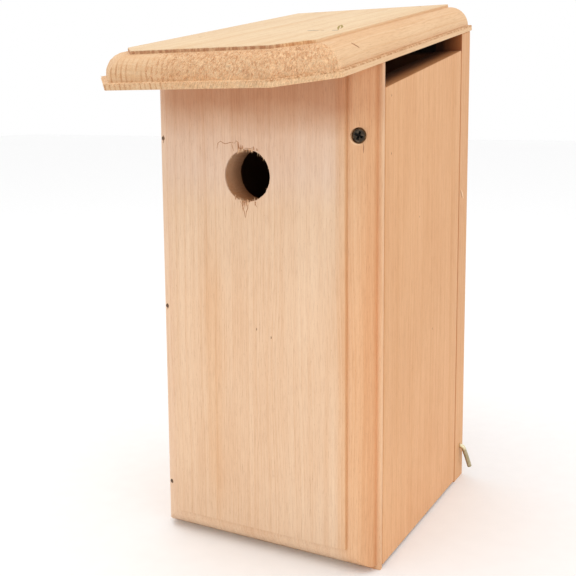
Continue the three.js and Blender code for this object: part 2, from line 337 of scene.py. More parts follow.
def front_marks(g, colour):
    """The front's own colours and bruise, and its painted light and shade: on the sides, under the roof, in
    the corners at the step and shoulder, and in the entrance's bore.
    """
    point = g.house_point()
    x, y, z = g.split(point)
    width = g.math("ABSOLUTE", x)

    # Heartwood towards +X, and one warm streak towards -X.
    colour = g.tint(colour, g.range(x, 49, 56), (1.0, 0.88, 0.76))
    # Darker and warmer over the outer side of the right quarter round.
    colour = g.tint(colour, g.both(g.range(x, 59, 66), g.range(x, 69, 67)), (0.92, 0.80, 0.70))
    # Painted light: the left quarter round is paler and cooler.
    colour = g.tint(colour, g.range(x, -52, -68), (1.03, 1.05, 1.12))
    wavering = g.noise(g.scaled(point, (0.02, 0.02, 0.012)), detail=1)
    stain = g.near(g.math("MULTIPLY_ADD", wavering, 10, x), -22, 2, 7)
    colour = g.tint(colour, g.both(stain, g.near(z, 95, 55, 40)), (0.97, 0.91, 0.84))
    # Painted light over the lower middle of the front.
    colour = g.tint(colour, g.near(z, 100, 45, 70), (1.06, 1.03, 1.0))

    # Painted shade under the roof's overhang, with a cooler band below it.
    colour = g.tint(colour, g.both(g.near(z, 228, 10, 20), g.near(x, -4, 50, 10)), (1.0, 1.03, 1.13))
    cloudy = g.math("MULTIPLY_ADD", g.noise(g.scaled(point, (0.03, 0.03, 0.05)), detail=2), 14, z)
    painted_roof_shade = g.both(g.range(cloudy, 244, 264), g.range(x, -66, -50, 0.45, 1), g.range(x, 54, 60, 1, 0.42))
    colour = g.tint(colour, painted_roof_shade, (0.72, 0.56, 0.49))

    # Painted shade in the concave corners at the field's step and at the shoulder.
    above_foot = g.range(z, ROUND_INSET - 1, ROUND_INSET)
    step = g.both(g.near(width, HALF - ROUND_INSET, 0.1, 0.5), above_foot)
    colour = g.tint(colour, step, (0.86, 0.77, 0.66))
    shoulder = g.both(g.near(width, HALF - EDGE_SHOULDER, 0.1, 0.5), g.range(z, 2, 3))
    colour = g.tint(colour, shoulder, (0.95, 0.89, 0.83))

    # The driver bruised the wood pale, below and left of the pivot screw.
    screw_across = g.math("SUBTRACT", x, PIVOT.x)
    screw_up = g.math("SUBTRACT", z, PIVOT.z)
    low_left = g.range(g.math("MULTIPLY_ADD", screw_up, 1.6, screw_across), -4, -7.5)
    bruise = g.both(g.near(g.length(screw_across, screw_up), 4.6, 0.2, 0.6), low_left)
    colour = g.tint(colour, bruise, (1.12, 1.22, 1.30))

    # Painted shade in the entrance's bore, darkest towards the inside.
    from_hole = g.length(g.math("SUBTRACT", x, ENTRANCE_X), g.math("SUBTRACT", z, ENTRANCE_Z))
    painted_bore_shade = g.both(g.range(from_hole, ENTRANCE_RADIUS + 2, ENTRANCE_RADIUS + 1), g.range(y, 0.3, 1.2))
    colour = g.tint(colour, painted_bore_shade, EDGE_SHADE)
    return g.tint(colour, g.both(painted_bore_shade, g.range(y, 3, BOARD)), (0.72, 0.66, 0.6))


CHATTER_PITCH = 3.1
CHATTER_LEAN = 0.15
TORN_FROM = -22  # the roof's front edge is cut clean left of this, and torn right of it


def roof_marks(g, colour):
    """Warmer wood below the field, with chatter lines, lifted fibres and a ragged step in front."""
    from_edge = g.scaled(g.house_point(), (1, 1, 1), (0, ROOF_OVERHANG, -ROOF_FRONT_HEIGHT))
    point = g.tilted(from_edge, -ROOF_SLOPE)
    x, y, z = g.split(point)
    front = g.range(y, 36, 31)
    round_edge = g.both(front, g.range(z, STEP_FOOT, STEP_FOOT - 0.6))
    colour = g.tint(colour, g.range(z, BOARD - 0.1, BOARD - 0.5), (1.0, 0.90, 0.84))

    # Lifted fibres on the right of the front edge, leaning to the right.
    leaning = g.join(g.math("MULTIPLY_ADD", z, -0.55, x), y, z)
    lifted = g.noise(g.scaled(leaning, (1 / 0.75, 1 / 0.75, 1 / 3.2)), detail=3, roughness=0.65)
    torn = g.both(round_edge, g.range(x, TORN_FROM, 4))
    colour = g.tint(colour, torn, g.range(lifted, 0.36, 0.62, 0.84, 1.2))

    # Chatter lines on its left.
    lean = g.math("MULTIPLY_ADD", z, CHATTER_LEAN, x)
    cusp = g.math("PINGPONG", g.math("MULTIPLY", lean, 1 / CHATTER_PITCH), 0.5)
    uneven = g.range(g.noise(g.scaled(point, (1 / 5, 1 / 5, 1 / 9)), detail=1), 0.35, 0.6)
    line = g.both(g.range(cusp, 0.24, 0.02), round_edge, g.range(x, 2, -16), uneven, g.range(z, 15.4, 12))
    colour = g.tint(colour, line, (0.72, 0.54, 0.43))

    # A ragged shadow at the shoulder and on the step's wall, which is pale at the clipped corner.
    dashes = g.noise(g.scaled(point, (1 / 1.5, 1 / 1.5, 1 / 9)), detail=2)
    at_shoulder = g.both(g.near(z, EDGE_HEIGHT - 0.3, 0.25, 0.5), g.range(x, 30, 50))
    colour = g.tint(colour, g.both(at_shoulder, g.range(dashes, 0.40, 0.6, 0.2, 1.0)), (0.62, 0.45, 0.32))
    wall = g.both(front, g.near(z, BOARD - FIELD_STEP / 2, FIELD_STEP / 2 - 0.4, 0.3))
    colour = g.tint(colour, g.both(wall, g.range(dashes, 0.38, 0.56, 0.4, 1.0)), (0.62, 0.46, 0.40))
    clip_start = ROOF_WIDTH / 2 - ROOF_CLIP[0]
    return g.tint(colour, g.both(wall, g.range(x, clip_start - 6, clip_start - 2)), (1.3, 1.35, 1.25))


def back_marks(g, colour):
    """Painted light low down, painted shade where the door's edge meets it, and darker painted shade in the
    vent.
    """
    x, y, z = g.split(g.house_point())
    colour = g.tint(colour, g.range(y, BACK_INNER + 1.4, BACK_INNER + 0.3), EDGE_SHADE)
    vent_wall_shade = g.both(g.range(y, BACK_INNER + 0.8, BACK_INNER + 0.4), g.range(z, DOOR_TOP - 2, DOOR_TOP))
    colour = g.tint(colour, vent_wall_shade, (0.62, 0.47, 0.35))
    colour = g.tint(colour, g.both(vent_wall_shade, g.range(x, HALF - 1, HALF - 13)), (0.12, 0.10, 0.08))
    return g.tint(colour, g.near(z, 40, 30, 60), (1.05, 1.03, 1.0))


def door_marks(g, colour):
    """Painted light towards the foot, a little darker towards its front edge, painted shade along its rear
    edge where it meets the back board, and painted shade on its top, the vent's floor.
    """
    x, y, z = g.split(g.house_point())
    colour = g.tint(colour, g.range(z, 120, 20), (1.08, 1.09, 1.12))
    colour = g.tint(colour, g.range(y, 24, BOARD), (0.97, 0.94, 0.9))
    colour = g.tint(colour, g.range(y, BACK_INNER - 1.6, BACK_INNER - 0.5), EDGE_SHADE)
    upward = g.range(g.split(g.coords.outputs["Normal"])[2], 0.6, 0.8)
    vent_floor_shade = g.both(upward, g.range(z, DOOR_TOP - 40, DOOR_TOP - 36))
    colour = g.tint(colour, vent_floor_shade, (0.84, 0.72, 0.60))
    colour = g.tint(colour, g.both(vent_floor_shade, g.range(x, HALF - 1, HALF - 10)), (0.40, 0.32, 0.26))
    return g.tint(colour, g.both(vent_floor_shade, g.range(x, HALF - 5, HALF - 14)), (0.2, 0.17, 0.15))


def no_marks(g, colour):
    return colour


FRONT_WOOD = wood(
    "front_wood", (0.80, 0.585, 0.405), (0.70, 0.445, 0.27), "upright", front_marks,
    shift=(0, 40, 0),
)
BACK_WOOD = wood(
    "back_wood", (0.745, 0.43, 0.225), (0.65, 0.325, 0.145), "upright", back_marks,
    shift=(700, 260, 30),
)
DOOR_WOOD = wood(
    "door_wood", (0.76, 0.43, 0.218), (0.668, 0.336, 0.15), "upright_side", door_marks,
    shift=(300, 90, 11), pith=(190, -25), ring=2.7,
)
LEFT_WOOD = wood(
    "left_wood", (0.78, 0.50, 0.30), (0.68, 0.40, 0.21), "upright_side", no_marks,
    shift=(900, -160, 19), pith=(40, -90), ring=3.8,
)
ROOF_WOOD = wood(
    "roof_wood", (0.815, 0.615, 0.385), (0.72, 0.465, 0.25), "level", roof_marks,
    tilt=ROOF_SLOPE, shift=(0, 120, 5), pith=(60, -70), ring=4.2,
)
FLOOR_WOOD = wood(
    "floor_wood", (0.74, 0.52, 0.33), (0.64, 0.41, 0.24), "level", no_marks,
    shift=(400, -300, 8), pith=(30, -50),
)


def tear_wood(name, colour, shade):
    """Raw broken fibres: a stringy surface between two tones."""
    g = Graph(name)
    coords = g.coords.outputs["Object"]
    strings = g.noise(g.scaled(coords, (2600, 2600, 500)), detail=3, roughness=0.7)
    tone = g.mix(g.range(strings, 0.35, 0.65), shade, colour)
    return g.finish(tone, g.range(strings, 0.3, 0.7, 0.7, 0.9), g.bump(strings, 0.5, 0.0002), specular=0.25)


TORN_FIBRE = tear_wood("torn_fibre", (0.92, 0.68, 0.45), (0.76, 0.49, 0.28))
# A painted-shade copy of the torn fibres' colour, for the roof's shaded fuzz.
TORN_SHADE = tear_wood("torn_shade", (0.78, 0.49, 0.27), (0.62, 0.34, 0.18))
TORN_CHIP = tear_wood("torn_chip", (0.56, 0.31, 0.17), (0.40, 0.20, 0.10))
TORN_CRACK = tear_wood("torn_crack", (0.50, 0.26, 0.14), (0.36, 0.17, 0.09))
PIN_KNOT = tear_wood("pin_knot", (0.30, 0.15, 0.07), (0.17, 0.08, 0.04))
PITCH_MARK = tear_wood("pitch_mark", (0.46, 0.34, 0.10), (0.28, 0.19, 0.05))
SMEAR = tear_wood("smear", (0.50, 0.40, 0.28), (0.36, 0.28, 0.20))

# ---- Metal ----


def metal(name, colour, worn, roughness, grain_scale, wear=(0.45, 0.75), metallic=1.0, marks=no_marks):
    """Metal or its coating with a fine grain, brighter where it is rubbed."""
    g = Graph(name)
    coords = g.coords.outputs["Object"]
    grain = g.noise(coords, detail=4, roughness=0.7, scale=grain_scale)
    patches = g.noise(coords, detail=3, roughness=0.6, scale=grain_scale / 5)
    tone = g.mix(g.range(patches, *wear), colour, worn)
    tone = marks(g, g.mix(g.range(grain, 0.35, 0.75, 0.0, 0.35), tone, worn))
    rough = g.range(grain, 0.3, 0.7, roughness - 0.08, roughness + 0.1)
    return g.finish(tone, rough, g.bump(grain, 0.25, 0.00006), metallic=metallic)


def screw_marks(g, colour):
    """The coating is worn brown round the head's rim."""
    x, _, z = g.split(g.house_point())
    from_axis = g.length(g.math("SUBTRACT", x, PIVOT.x), g.math("SUBTRACT", z, PIVOT.z))
    return g.tint(colour, g.range(from_axis, 3.2, 3.8), (1.9, 1.15, 0.45))


def hook_marks(g, colour):
    """A painted highlight where it bends, and painted shade on the leg's inner side."""
    x, _, z = g.split(g.house_point())
    painted_bend_highlight = g.both(g.range(z, HOOK_TOP - 4.5, HOOK_TOP - 1.5), g.range(x, HALF - 0.5, HALF + 0.6))
    colour = g.tint(colour, painted_bend_highlight, (1.85, 1.9, 2.0))
    return g.tint(colour, g.range(g.split(g.coords.outputs["Normal"])[0], 0.2, -0.7), (0.62, 0.52, 0.38))


BRONZED = metal(
    "bronzed_steel", (0.030, 0.021, 0.014), (0.145, 0.115, 0.08), 0.4, 2600, (0.5, 0.72), 0.75, screw_marks
)
RECESS_BLACK = metal("recess_dark", (0.012, 0.01, 0.009), (0.03, 0.026, 0.022), 0.6, 2600, metallic=0.6)
BRASS = metal("brass_wire", (0.41, 0.355, 0.215), (0.57, 0.51, 0.355), 0.3, 1500, marks=hook_marks)
NAIL_STEEL = metal("nail_steel", (0.09, 0.06, 0.04), (0.20, 0.14, 0.10), 0.55, 3000, metallic=0.6)

# ---- Meshes and objects ----


def new_object(name, bm, material):
    """Makes an object from a bmesh drawn in the house's frame."""
    bmesh.ops.recalc_face_normals(bm, faces=bm.faces)
    mesh = bpy.data.meshes.new(name)
    bm.to_mesh(mesh)
    bm.free()
    mesh.transform(Matrix.Translation(HOUSE) @ Matrix.Scale(MM, 4))
    mesh.materials.append(material)
    obj = bpy.data.objects.new(name, mesh)
    scene.collection.objects.link(obj)
    return obj


def shade(obj, angle=32):
    obj.data.shade_smooth()
    obj.data.set_sharp_from_angle(angle=math.radians(angle))


def attach(obj, body, slot, *replaced):
    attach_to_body(obj, body)
    if replaced:
        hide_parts(*replaced)


def carve(obj, cutters):
    """Cuts the cutters' shapes out of obj, and removes them."""
    for cutter in cutters:
        cut = obj.modifiers.new("cut", "BOOLEAN")
        cut.operation = "DIFFERENCE"
        cut.solver = "EXACT"
        cut.object = cutter
    graph = bpy.context.evaluated_depsgraph_get()
    carved = bpy.data.meshes.new_from_object(obj.evaluated_get(graph))
    obj.modifiers.clear()
    obj.data = carved
    for cutter in cutters:
        bpy.data.objects.remove(cutter)


def add_loops(bm, loops):
    """Joins closed rings of points, one after another, into a surface, and caps its ends."""
    rings = [[bm.verts.new(point) for point in loop] for loop in loops]
    for ring, following in zip(rings, rings[1:]):
        for i in range(len(ring)):
            j = (i + 1) % len(ring)
            bm.faces.new((ring[i], ring[j], following[j], following[i]))
    bm.faces.new(reversed(rings[0]))
    bm.faces.new(rings[-1])


def circle(radius, count):
    for i in range(count):
        angle = 2 * math.pi * i / count
        yield radius * math.cos(angle), radius * math.sin(angle)


def turned(bm, profile, count, matrix):
    """A solid of revolution about matrix's Z axis; profile holds each radius and height."""
    loops = [[matrix @ Vector((x, y, z)) for x, y in circle(radius, count)] for radius, z in profile]
    add_loops(bm, loops)


# ---- Routed boards ----


def board_corners(width, length, clip, inset):
    """A board's corners from its rear right to its rear left, its routed end at y = 0."""
    half = width / 2 - inset
    right = [(half, length)]
    near_corner = (half, inset)
    if clip:
        across, along = clip
        turn = math.atan2(along, across)
        right.append((half, along + inset * math.tan((math.pi / 2 - turn) / 2)))
        near_corner = (width / 2 - across - inset * math.tan(turn / 2), inset)
    right.append(near_corner)
    return right + [(-x, y) for x, y in reversed(right)]


def board_contour(width, length, clip, inset, counts):
    """Points along a board's right side, front and left side; counts says how many each stretch gets."""
    corners = board_corners(width, length, clip, inset)
    points = []
    for (x0, y0), (x1, y1), count in zip(corners, corners[1:], counts):
        points += [(x0 + (x1 - x0) * i / count, y0 + (y1 - y0) * i / count) for i in range(count)]
    return points + corners[-1:]


def routed_profile(ledge, round_steps):
    """Inset and height from the lower outer edge, up the quarter round, to the field."""
    profile = [(EASE, 0), (EASE * 0.3, EASE * 0.3), (0, EASE)]
    profile += [(0, EDGE_HEIGHT * 0.5), (0, EDGE_HEIGHT - EASE), (EASE * 0.3, EDGE_HEIGHT - EASE * 0.3)]
    profile += [(EASE, EDGE_HEIGHT), (EDGE_SHOULDER - 0.15, EDGE_HEIGHT)]
    for i in range(round_steps + 1):
        angle = math.pi / 2 * i / round_steps
        inset = ROUND_INSET - QUARTER_ROUND * math.cos(angle)
        rise = CUTTER_RELIEF + (QUARTER_ROUND - CUTTER_RELIEF) * math.sin(angle)
        profile.append((inset, EDGE_HEIGHT + rise))
    wall = ROUND_INSET + ledge
    if ledge > 0:
        profile.append((wall - 0.1, STEP_FOOT))
    top = wall + CUTTER_RELIEF
    profile += [(wall + 0.05, STEP_FOOT + 0.2), (top, BOARD - EASE)]
    profile += [(top + EASE * 0.3, BOARD - EASE * 0.3), (top + EASE, BOARD)]
    return profile


def routed_board(width, length_at, clip, ledge, counts, round_steps):
    """A board with its routed field up (+Z). length_at(z) says how long it is at a height."""
    bm = bmesh.new()
    rings = []
    for inset, z in routed_profile(ledge, round_steps):
        contour = board_contour(width, length_at(z), clip, inset, counts)
        rings.append([bm.verts.new((x, y, z)) for x, y in contour])
    for ring, following in zip(rings, rings[1:]):
        for i in range(len(ring) - 1):
            bm.faces.new((ring[i], ring[i + 1], following[i + 1], following[i]))
    bm.faces.new(rings[0])
    bm.faces.new(rings[-1])
    right_end = [ring[0] for ring in rings]
    left_end = [ring[-1] for ring in rings]
    bm.faces.new(right_end + left_end[::-1])
    bmesh.ops.recalc_face_normals(bm, faces=bm.faces)
    return bm


def roughen(bm, lift_at):
    """Moves each vertex along its normal by lift_at(vertex)."""
    bm.normal_update()
    moved = [(vert, vert.normal * lift_at(vert)) for vert in bm.verts]
    for vert, offset in moved:
        vert.co += offset


# ---- Front board ----

FRONT_COUNTS = (90, 70, 90)
FOOT_RIPPLE = 0.16

# Depth into the front board, and how far its torn rim opens there.
RIM_FLARES = ((-3, 0.9), (-0.2, 0.55), (0.5, 0.1), (1.6, 0), (9, -0.1), (15.5, 0), (16.8, 0.25), (21, 0.8))
RIM_POINTS = 120

RUNGS = 6
RUNG_PITCH = 12.7
FIRST_RUNG = 22  # below the entrance's middle
KERF_WIDTH = 60
KERF_DEPTH = 1.6
KERF_HEIGHT = 3

# Each hole's radius, and the depth below the fastener's head.
SCREW_HOLE = ((4.2, -6), (4.2, 0.5), (2.25, 3), (2.25, 16))
NAIL_HOLE = ((1.3, -5), (1.3, 1.1), (0.95, 1.2), (0.95, 16))
BRAD_HOLE = ((1.2, -6), (1.2, 0.9), (0.85, 1.0), (0.85, 22))
HOLE_SIDES = 32


def upright(bm):
    """Stands a board up: its field faces -Y and its length runs up."""
    bm.transform(Matrix.Translation((0, BOARD, 0)) @ Matrix.Rotation(math.pi / 2, 4, "X"))


def entrance_loop(depth, flare):
    """The entrance's rim at one depth. Fibres tear out above and below, where the grain ends on it."""
    loop = []
    for i in range(RIM_POINTS):
        angle = 2 * math.pi * i / RIM_POINTS
        direction = Vector((math.cos(angle), 0, math.sin(angle)))
        ragged = noise.noise(direction * 5.5 + Vector((0, depth * 0.05, 3)))
        vertical = abs(math.sin(angle))
        chip = max(0, noise.noise(direction * 9 + Vector((7, 0, 0)))) * (0.3 + vertical) * flare * 2.2
        r = ENTRANCE_RADIUS + 0.12 * ragged + flare * 0.25 + chip
        loop.append((ENTRANCE_X + r * direction.x, depth, ENTRANCE_Z + r * direction.z))
    return loop


def entrance_cutter():
    bm = bmesh.new()
    add_loops(bm, [entrance_loop(depth, flare) for depth, flare in RIM_FLARES])
    return new_object("entrance_cutter", bm, FRONT_WOOD)


def kerf_cutter():
    """The ladder of kerfs inside, by which young birds climb to the entrance."""
    bm = bmesh.new()
    size = Matrix.Diagonal((KERF_WIDTH, 2 * KERF_DEPTH, KERF_HEIGHT, 1))
    for rung in range(RUNGS):
        height = ENTRANCE_Z - FIRST_RUNG - RUNG_PITCH * rung - KERF_HEIGHT / 2
        bmesh.ops.create_cube(bm, size=1, matrix=Matrix.Translation((ENTRANCE_X, BOARD, height)) @ size)
    return new_object("kerf_cutter", bm, FRONT_WOOD)


def fastener_matrix(head, way):
    """From a fastener's own frame, with its head at the origin and its tip up +Z, to the house's."""
    return Matrix.Translation(head) @ Vector((0, 0, 1)).rotation_difference(Vector(way)).to_matrix().to_4x4()


def hole_cutter(holes, material):
    """Round holes, each with the middle of its mouth, its way in and its profile."""
    bm = bmesh.new()
    for mouth, way, profile in holes:
        turned(bm, profile, HOLE_SIDES, fastener_matrix(mouth, way))
    return new_object("hole_cutter", bm, material)


def side_strip_depth(x):
    """How far the front's quarter round lies behind the field, over a side board's edge."""
    from_centre = abs(x) - (HALF - ROUND_INSET)
    return FIELD_STEP + QUARTER_ROUND - math.sqrt(QUARTER_ROUND**2 - from_centre**2)


def front_board():
    """The front, whose top edge follows the roof's slope."""
    height = roof_underside(0) - FIT_GAP

    def height_at(z):
        return height + (BOARD - z) * math.tan(ROOF_SLOPE)

    bm = routed_board(2 * HALF, height_at, None, 0, FRONT_COUNTS, round_steps=18)
    roughen(bm, foot_ripple)
    upright(bm)
    board = new_object("front_board", bm, FRONT_WOOD)
    holes = [((PIVOT.x, side_strip_depth(PIVOT.x), PIVOT.z), (0, 1, 0), SCREW_HOLE)]
    holes += [(fastener_head(f"side_nail_front_{i}"), (0, 1, 0), NAIL_HOLE) for i in (1, 2, 3)]
    carve(board, [entrance_cutter(), kerf_cutter(), hole_cutter(holes, FRONT_WOOD)])
    shade(board)
    attach(board, "house", "body_wood", "front_panel")


def foot_ripple(vert):
    """How far router marks lift the end grain along the front's lower edge."""
    x, y, z = vert.co
    on_foot = y <= min(ROUND_INSET, HALF - abs(x) - 0.3)
    if not on_foot or not EDGE_HEIGHT <= z <= STEP_FOOT + 0.1:
        return 0
    return noise.noise(Vector((x / 2.2, z / 9, 4.0))) * FOOT_RIPPLE


def fastener_head(node):
    """Middle of a fastener's head in the house's frame: the outer end of its node's box."""
    low, high = (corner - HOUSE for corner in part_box(node))
    middle = (low + high) / 2 / MM
    if "front" in node and "roof" not in node:
        middle.y = low.y / MM
    elif "left" in node:
        middle.x = low.x / MM
    elif "roof" in node:
        middle.z = high.z / MM
    else:
        middle.y = high.y / MM
    return middle


# ---- Roof ----

ROOF_COUNTS = (70, 70, 190, 70, 70)
ROOF_LENGTH = (ROOF_OVERHANG + REAR) / math.cos(ROOF_SLOPE)


def roof_matrix():
    tilt = Matrix.Rotation(ROOF_SLOPE, 4, "X")
    return Matrix.Translation((0, -ROOF_OVERHANG, ROOF_FRONT_HEIGHT)) @ tilt


def on_end_grain(x, y):
    """Whether a point of the roof's plan belongs to its front edge or a clipped corner, not to a side."""
    across, along = ROOF_CLIP
    lean = math.tan((math.pi / 2 - math.atan2(along, across)) / 2)
    return y < along + (ROOF_WIDTH / 2 - abs(x)) * lean + 0.2


def edge_roughness(vert):
    """How far the roof's front edge is lifted: in chatter on its left, in torn end grain on the rest."""
    x, y, z = vert.co
    if not on_end_grain(x, y) or len(vert.link_faces) > 4 or z <= 0.01 or z >= BOARD - 0.01:
        return 0
    scallop = abs(math.sin(math.pi * (x + CHATTER_LEAN * z) / CHATTER_PITCH)) - 0.64
    fuzz = noise.noise(Vector((x / 0.8, y / 0.8, z / 1.5)))
    fuzz += 0.6 * noise.noise(Vector((x / 2.2, y / 2.2, z / 3)))
    fuzzy = min(1.0, max(0.0, (x - TORN_FROM) / -TORN_FROM))
    return 0.24 * scallop * (1 - fuzzy) + fuzz * (0.05 + 0.25 * fuzzy)


def roof_board():
    bm = routed_board(ROOF_WIDTH, lambda z: ROOF_LENGTH, ROOF_CLIP, ROOF_LEDGE, ROOF_COUNTS, round_steps=20)
    roughen(bm, edge_roughness)
    bm.transform(roof_matrix())
    board = new_object("roof_board", bm, ROOF_WOOD)
    heads = [fastener_head(f"roof_brad_{end}_{i}") for end in ("front", "back") for i in (1, 2)]
    carve(board, [hole_cutter([(head, (0, 0, -1), BRAD_HOLE) for head in heads], ROOF_WOOD)])
    shade(board)
    attach(board, "house", "roof_wood", "roof")


# ---- Plain boards: the CAD shapes with eased edges ----


def eased_board(name, node, material, body, slot):
    """A copy of a CAD board whose long edges are slightly rounded, as sawn and sanded boards are."""
    bm = bmesh.new()
    bm.from_mesh(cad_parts[node].data)
    bm.transform(Matrix.Scale(1 / MM, 4) @ Matrix.Translation(-HOUSE))
    bmesh.ops.remove_doubles(bm, verts=bm.verts, dist=0.001)
    bmesh.ops.dissolve_limit(bm, angle_limit=math.radians(1), verts=bm.verts, edges=bm.edges)
    long_edges = [
        edge
        for edge in bm.edges
        if len(edge.link_faces) == 2 and edge.calc_length() > 8 and edge.calc_face_angle() > math.radians(30)
    ]
    made = bmesh.ops.bevel(
        bm, geom=long_edges, offset=EASE, segments=3, profile=0.5, affect="EDGES", clamp_overlap=True
    )
    for face in made["faces"]:
        face.smooth = face.calc_area() < 4 * EASE * max(edge.calc_length() for edge in face.edges)
    board = new_object(name, bm, material)
    attach(board, body, slot, node)


# ---- Torn fibres, cracks and small knots ----


def sliver(bm, base, way, out, length, width, lift):
    """A splinter: a closed spike that leaves the surface at its tip."""
    way = Vector(way).normalized()
    out = Vector(out).normalized()
    side = way.cross(out).normalized() * (width / 2)
    base = Vector(base)
    root = base - out * 0.15
    corners = [root - side, root + side, base + out * (width * 0.6), base + way * length + out * lift]
    a, b, c, tip = (bm.verts.new(corner) for corner in corners)
    for face in ((a, c, b), (a, b, tip), (b, c, tip), (c, a, tip)):
        bm.faces.new(face)


def ribbon(bm, points, width, surface):
    """A thin low ridge along points (u, v) of a surface, drawn out to nothing at both ends."""
    loops = []
    last = len(points) - 1
    for i, (u, v) in enumerate(points):
        before = points[max(i - 1, 0)]
        after = points[min(i + 1, last)]
        run = Vector((after[0] - before[0], after[1] - before[1])).normalized()
        half = width / 2 * (0.25 if i in (0, last) else 1)
        nu, nv = -run.y * half, run.x * half
        rim = [(u - nu, v - nv, -0.12), (u + nu, v + nv, -0.12), (u + nu * 0.7, v + nv * 0.7, 0.05)]
        loops.append([surface(*p) for p in (*rim, (u - nu * 0.7, v - nv * 0.7, 0.05))])
    add_loops(bm, loops)


def on_front(u, v, lift):
    return Vector((u, -lift, v))


def on_right_side(u, v, lift):
    return Vector((HALF + lift, u, v))


def on_roof(u, v, lift):
    """u across the roof, v along its slope from the front edge."""
    return roof_matrix() @ Vector((u, v, BOARD + lift))


def on_strip(u, v, lift):
    """The front's quarter rounds, over the side boards' edges."""
    return Vector((u, side_strip_depth(u) - lift, v))


def on_roof_round(u, v, lift):
    """The roof's right quarter round: u is the angle up it in degrees, v is along the slope."""
    angle = math.radians(u)
    radius = QUARTER_ROUND + CUTTER_RELIEF + lift
    x = ROOF_WIDTH / 2 - ROUND_INSET + radius * math.cos(angle)
    return roof_matrix() @ Vector((x, v, EDGE_HEIGHT + radius * math.sin(angle)))


def add_marks(name, material, surface, lines, body="house", slot="body_wood"):
    """One object of ribbons on a surface; lines holds each ribbon's width and points."""
    bm = bmesh.new()
    for width, points in lines:
        ribbon(bm, points, width, surface)
    attach(new_object(name, bm, material), body, slot)


def dash(u, v, above, below, lean=0.1):
    """The points of a short upright mark, bent a little in its middle."""
    return [(u, v + above), (u + lean, v), (u, v - below)]


TEARS_ABOVE = [
    [(-22.6, 231), (-21.9, 233.8), (-20.2, 235), (-18.4, 234), (-16.8, 233.6), (-14, 234.4), (-11, 234.1)],
    [(-11.2, 234), (-10, 235.3), (-8.7, 234.4), (-8.2, 231.8), (-7.2, 230)],
    [(-13, 233.9), (-12.6, 232), (-11.6, 229.6)],
    [(-5.6, 230.4), (-4.2, 231.4), (-1, 231.2), (0.9, 232.2)],
]
TEARS_BELOW = [
    [(-8.2, 202.6), (-6.8, 200.6), (-6.0, 198.2), (-5.5, 196.4), (-4.9, 193.2)],
    [(-2.2, 202.2), (-3.1, 200.6), (-3.4, 198.6), (-4.3, 196.4), (-4.7, 193.6)],
    [(1.2, 202.4), (1.6, 200.9), (2.6, 199.6)],
]

# Bare brown patches where fibres came away at the rim: x, z and reach, upwards or downwards.
CHIPS = (
    (-8.6, 230.6, 4.4), (-7.2, 230.8, 3.0), (-6.2, 231.0, 2.2), (0.9, 230.7, 2.0), (3.0, 230.2, 1.4),
    (-6.4, 202.6, -5.8), (-5.3, 202.4, -4.6), (-4.2, 202.4, -3.4), (1.6, 202.5, -2.4), (-10.8, 204.6, -1.8),
)
CHIP_WIDTH = 1.1

# Splinters that stand out from the rest: x, z and length.
LONG_SPLINTERS = (
    (-8.4, 231.2, 3.2), (-6.2, 231.0, 1.8), (-0.2, 231.0, 2.0), (-6.8, 200.6, 4.0), (-3, 200.8, 3.0),
)
SPLINTER_COUNT = 64
OUTWARDS = (0, -1, 0)


def entrance_tears():
    """Cracks, bare patches and splinters where the grain ends on the entrance's rim."""
    random.seed(11)
    lines = [(0.42, line) for line in TEARS_ABOVE] + [(0.6, line) for line in TEARS_BELOW]
    add_marks("entrance_cracks", TORN_CRACK, on_front, lines)

    chips = bmesh.new()
    for x, z, reach in CHIPS:
        way = (random.gauss(0, 0.12), 0, math.copysign(1, reach))
        sliver(chips, (x, -0.02, z), way, OUTWARDS, abs(reach), CHIP_WIDTH, 0.02)
    attach(new_object("entrance_chips", chips, TORN_CHIP), "house", "body_wood")

    splinters = bmesh.new()
    for _ in range(SPLINTER_COUNT):
        angle = random.choice((math.pi / 2, -math.pi / 2)) + random.gauss(0, 0.42)
        r = ENTRANCE_RADIUS + random.uniform(-0.1, 0.5)
        depth = random.uniform(-0.05, 1.2)
        base = (ENTRANCE_X + r * math.cos(angle), depth, ENTRANCE_Z + r * math.sin(angle))
        inwards = -math.copysign(1, math.sin(angle))
        way = (random.gauss(0, 0.25), -random.uniform(0, 0.35), inwards)
        length = random.uniform(0.6, 2.2)
        sliver(splinters, base, way, OUTWARDS, length, random.uniform(0.25, 0.6), 0.2)
    for x, z, length in LONG_SPLINTERS:
        way = (random.gauss(0, 0.12), -0.12, -1 if z > ENTRANCE_Z else 1)
        sliver(splinters, (x, 0, z), way, OUTWARDS, length, 0.9, 0.3)
    across_the_hole = (-1, 0.05, 0.12)
    sliver(splinters, (10.6, 0.6, 209.4), across_the_hole, OUTWARDS, 3.6, 0.8, 0.1)
    attach(new_object("entrance_splinters", splinters, TORN_FIBRE), "house", "body_wood")


# Height of each nail in the front's left edge, and how far the wood is torn above and below it.
NAIL_TEARS = ((236, 2.0, 2.8), (138, 1.5, 2.2), (30, 0.6, 0.8))
FRONT_KNOTS = ((10.5, 127.9), (1.3, 131.6))
DOOR_KNOTS = ((26.2, 228.6), (26, 259), (71, 190), (96, 118))

SCREW_CRACK = [(62.9, 235.0), (63.2, 233.3), (63.1, 231.4), (63.2, 229.6)]
CRACK_ABOVE_SCREW = [(61.3, 243.0), (61.5, 244.6), (61.4, 246.2)]
BACK_EDGE_SPLINTER_SHADOW = [(147.4, 198.8), (149.0, 196.6), (151.2, 193.4)]
BACK_EDGE_SPLINTER = [(149.8, 198.8), (151.8, 196.2), (154.4, 192.8)]
PITCH_STREAKS = (
    [(46.8, 76.9), (41.2, 89.3), (36.4, 101), (34.8, 107)],
    [(34.8, 107.9), (38.4, 100), (41.4, 94), (45.0, 84)],
)
SMEARS = ([(26.5, 82.4), (30, 81), (34.4, 79.4)], [(44, 76), (45.8, 75.4), (48, 74.6)])
ROOF_SCRATCH = [(51, 54), (46, 55), (42, 55.8), (37, 56.9), (33, 57.6)]


